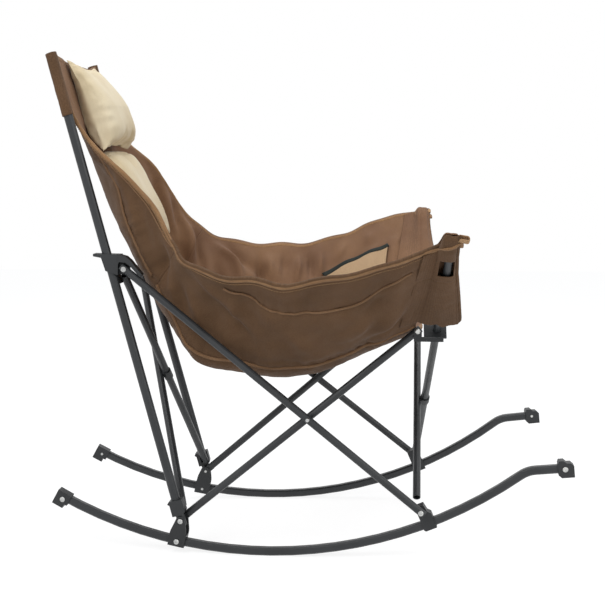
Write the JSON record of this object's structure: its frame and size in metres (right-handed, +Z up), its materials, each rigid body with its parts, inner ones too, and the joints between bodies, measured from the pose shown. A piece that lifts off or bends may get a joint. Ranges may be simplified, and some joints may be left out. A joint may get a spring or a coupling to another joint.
{
  "type": "folding padded rocking chair",
  "caption": "Folding camp rocking chair: padded bucket sling with head pillow and lumbar pad on a crossed-tube frame that stands on curved rocker rails.",
  "frame": {"origin": "on the floor under the middle of the chair, unfolded and upright, between the two rails", "axes": "+X forward (the way the sitter faces), +Y to the sitter's left, +Z up"},
  "size_m": [1.085, 1.021, 1.0405],
  "materials": {
    "tube_paint": "satin",
    "plastic": "matte",
    "zinc": "bright",
    "cloth": "woven",
    "cloth_inside": "woven",
    "binding": "woven tape",
    "beige_cloth": "woven",
    "mesh_cloth": "net"
  },
  "bodies": {
    "sling": {"back_panel": "cloth", "lumbar_pad": "beige_cloth", "head_pillow": "beige_cloth"},
    "seat": {"seat_bucket": "cloth_inside", "mesh_pocket": "mesh_cloth"},
    "right_post_sleeve": {"right_post_sleeve": "cloth"},
    "right_post": {"right_back_post": "tube_paint", "right_rear_foot_bolt": "zinc"},
    "right_slider": {"right_slider_bracket": "plastic", "right_slider_bolt": "zinc"},
    "right_long_tube": {"right_long_side_tube": "tube_paint", "right_side_rivet": "zinc", "right_front_foot_bolt": "zinc"},
    "right_short_tube": {"right_short_side_tube": "tube_paint", "right_corner_bolt": "zinc"},
    "right_rocker": {"right_rocker_rail": "tube_paint", "right_rear_end_cap": "plastic", "right_front_end_cap": "plastic", "right_rear_foot_bracket": "plastic", "right_rail_bolt": "zinc", "right_rear_cap_screw": "zinc", "right_front_cap_screw": "zinc"},
    "right_front_foot": {"right_front_foot_saddle": "plastic"},
    "right_corner": {"right_corner_bracket": "plastic"},
    "right_front_tube": {"right_front_cross_tube": "tube_paint", "right_arm_socket": "plastic", "right_arm_sleeve": "cloth", "right_arm_loop": "binding", "front_cross_clip": "plastic"},
    "right_rear_tube": {"right_rear_cross_tube": "tube_paint", "rear_cross_clip": "plastic"},
    "right_foot_collar": {"right_lower_collar": "plastic"},
    "left_post_sleeve": {"left_post_sleeve": "cloth"},
    "left_post": {"left_back_post": "tube_paint", "left_rear_foot_bolt": "zinc"},
    "left_slider": {"left_slider_bracket": "plastic", "left_slider_bolt": "zinc"},
    "left_long_tube": {"left_long_side_tube": "tube_paint", "left_side_rivet": "zinc", "left_front_foot_bolt": "zinc"},
    "left_short_tube": {"left_short_side_tube": "tube_paint", "left_corner_bolt": "zinc"},
    "left_rocker": {"left_rocker_rail": "tube_paint", "left_rear_end_cap": "plastic", "left_front_end_cap": "plastic", "left_rear_foot_bracket": "plastic", "left_rail_bolt": "zinc", "left_rear_cap_screw": "zinc", "left_front_cap_screw": "zinc"},
    "left_front_foot": {"left_front_foot_saddle": "plastic"},
    "left_corner": {"left_corner_bracket": "plastic"},
    "left_front_tube": {"left_front_cross_tube": "tube_paint", "left_arm_socket": "plastic", "left_arm_sleeve": "cloth", "left_arm_loop": "binding"},
    "left_rear_tube": {"left_rear_cross_tube": "tube_paint"},
    "left_foot_collar": {"left_lower_collar": "plastic"}
  },
  "joints": [
    {"name": "right_sleeve_swing", "type": "hinge", "parent": "sling", "child": "right_post_sleeve", "pos_m": [-0.16627, -0.10531, 0.09513], "axis": [0.2569, -0.0138, -0.9663], "range_deg": [0, 47.26], "deforming": ["back_panel", "lumbar_pad", "head_pillow"]},
    {"name": "right_post_turn", "type": "hinge", "parent": "right_post_sleeve", "child": "right_post", "pos_m": [-0.26686, -0.209, 0.06987], "axis": [-0.2569, 0.0138, 0.9663], "range_deg": [0, 47.26]},
    {"name": "right_slider_slide", "type": "slide", "parent": "right_post", "child": "right_slider", "axis": [-0.2569, 0.0138, 0.9663], "range_m": [0, 0.2583]},
    {"name": "right_long_hinge", "type": "hinge", "parent": "right_slider", "child": "right_long_tube", "pos_m": [-0.37713, -0.20307, 0.59928], "axis": [0.0537, 0.9986, 0], "range_deg": [0, 23.86]},
    {"name": "fold", "type": "hinge", "parent": "right_post", "child": "right_short_tube", "pos_m": [-0.26686, -0.209, 0.06987], "axis": [-0.0537, -0.9986, 0], "range_deg": [0, 42.49]},
    {"name": "right_rocker_hinge", "type": "hinge", "parent": "right_post", "child": "right_rocker", "pos_m": [-0.26686, -0.209, 0.06987], "axis": [-0.0537, -0.9986, 0], "range_deg": [0, 32.28]},
    {"name": "right_foot_travel", "type": "hinge", "parent": "right_rocker", "child": "right_front_foot", "pos_m": [-0.0986, -0.21805, 0.90227], "axis": [0.0537, 0.9986, 0], "range_deg": [0, 20.7]},
    {"name": "right_corner_hinge", "type": "hinge", "parent": "right_short_tube", "child": "right_corner", "pos_m": [0.22335, -0.23538, 0.48048], "axis": [0.0537, 0.9986, 0], "range_deg": [0, 32.5]},
    {"name": "right_front_tube_hinge", "type": "hinge", "parent": "right_corner", "child": "right_front_tube", "pos_m": [0.25979, -0.23734, 0.47348], "axis": [-0.9988, 0, 0.0494], "range_deg": [0, 32.02]},
    {"name": "right_rear_tube_hinge", "type": "hinge", "parent": "right_slider", "child": "right_rear_tube", "pos_m": [-0.38227, -0.17926, 0.57863], "axis": [-0.9663, 0, -0.2573], "range_deg": [0, 23.34]},
    {"name": "right_collar_slide", "type": "slide", "parent": "right_post", "child": "right_foot_collar", "axis": [-0.2569, 0.0138, 0.9663], "range_m": [0, 0.15436]},
    {"name": "left_sleeve_swing", "type": "hinge", "parent": "sling", "child": "left_post_sleeve", "pos_m": [-0.16627, 0.10531, 0.09513], "axis": [-0.2569, -0.0138, 0.9663], "range_deg": [0, 47.26]},
    {"name": "left_post_turn", "type": "hinge", "parent": "left_post_sleeve", "child": "left_post", "pos_m": [-0.26686, 0.209, 0.06987], "axis": [0.2569, 0.0138, -0.9663], "range_deg": [0, 47.26]},
    {"name": "left_slider_slide", "type": "slide", "parent": "left_post", "child": "left_slider", "axis": [-0.2569, -0.0138, 0.9663], "range_m": [0, 0.2583]},
    {"name": "left_long_hinge", "type": "hinge", "parent": "left_slider", "child": "left_long_tube", "pos_m": [-0.37713, 0.20307, 0.59928], "axis": [-0.0537, 0.9986, 0], "range_deg": [0, 23.86]},
    {"name": "left_short_hinge", "type": "hinge", "parent": "left_post", "child": "left_short_tube", "pos_m": [-0.26686, 0.209, 0.06987], "axis": [0.0537, -0.9986, 0], "range_deg": [0, 42.49]},
    {"name": "left_rocker_hinge", "type": "hinge", "parent": "left_post", "child": "left_rocker", "pos_m": [-0.26686, 0.209, 0.06987], "axis": [0.0537, -0.9986, 0], "range_deg": [0, 32.28]},
    {"name": "left_foot_travel", "type": "hinge", "parent": "left_rocker", "child": "left_front_foot", "pos_m": [-0.0986, 0.21805, 0.90227], "axis": [-0.0537, 0.9986, 0], "range_deg": [0, 20.7]},
    {"name": "left_corner_hinge", "type": "hinge", "parent": "left_short_tube", "child": "left_corner", "pos_m": [0.22335, 0.23538, 0.48048], "axis": [-0.0537, 0.9986, 0], "range_deg": [0, 32.43]},
    {"name": "left_front_tube_hinge", "type": "hinge", "parent": "left_corner", "child": "left_front_tube", "pos_m": [0.24412, 0.2365, 0.47348], "axis": [0.9986, 0, -0.0531], "range_deg": [0, 32.04]},
    {"name": "left_rear_tube_hinge", "type": "hinge", "parent": "left_slider", "child": "left_rear_tube", "pos_m": [-0.41411, 0.17754, 0.57014], "axis": [0.9663, 0, 0.2573], "range_deg": [0, 23.36]},
    {"name": "left_collar_slide", "type": "slide", "parent": "left_post", "child": "left_foot_collar", "axis": [-0.2569, -0.0138, 0.9663], "range_m": [0, 0.15436]},
    {"name": "seat_fold", "type": "hinge", "parent": "sling", "child": "seat", "pos_m": [-0.32906, 0, 0.54477], "axis": [0, -1, 0], "range_deg": [0, 73], "deforming": ["seat_bucket", "mesh_pocket"]}
  ],
  "couplings": [
    {"joint": "right_sleeve_swing", "follows": "fold", "ratio": 1.1123},
    {"joint": "right_post_turn", "follows": "fold", "ratio": 1.1123},
    {"joint": "right_slider_slide", "follows": "fold", "m_per_rad": 0.34832},
    {"joint": "right_long_hinge", "follows": "fold", "ratio": 0.56161},
    {"joint": "right_rocker_hinge", "follows": "fold", "ratio": 0.75963},
    {"joint": "right_foot_travel", "follows": "fold", "ratio": 0.48712},
    {"joint": "right_corner_hinge", "follows": "fold", "ratio": 0.76489},
    {"joint": "right_front_tube_hinge", "follows": "fold", "ratio": 0.75357},
    {"joint": "right_rear_tube_hinge", "follows": "fold", "ratio": 0.5492},
    {"joint": "right_collar_slide", "follows": "fold", "m_per_rad": 0.20815},
    {"joint": "left_sleeve_swing", "follows": "fold", "ratio": 1.1123},
    {"joint": "left_post_turn", "follows": "fold", "ratio": 1.1123},
    {"joint": "left_slider_slide", "follows": "fold", "m_per_rad": 0.34832},
    {"joint": "left_long_hinge", "follows": "fold", "ratio": 0.56161},
    {"joint": "left_short_hinge", "follows": "fold", "ratio": 1},
    {"joint": "left_rocker_hinge", "follows": "fold", "ratio": 0.75963},
    {"joint": "left_foot_travel", "follows": "fold", "ratio": 0.48712},
    {"joint": "left_corner_hinge", "follows": "fold", "ratio": 0.76321},
    {"joint": "left_front_tube_hinge", "follows": "fold", "ratio": 0.75404},
    {"joint": "left_rear_tube_hinge", "follows": "fold", "ratio": 0.54985},
    {"joint": "left_collar_slide", "follows": "fold", "m_per_rad": 0.20815},
    {"joint": "seat_fold", "follows": "fold", "ratio": 1.7182}
  ]
}
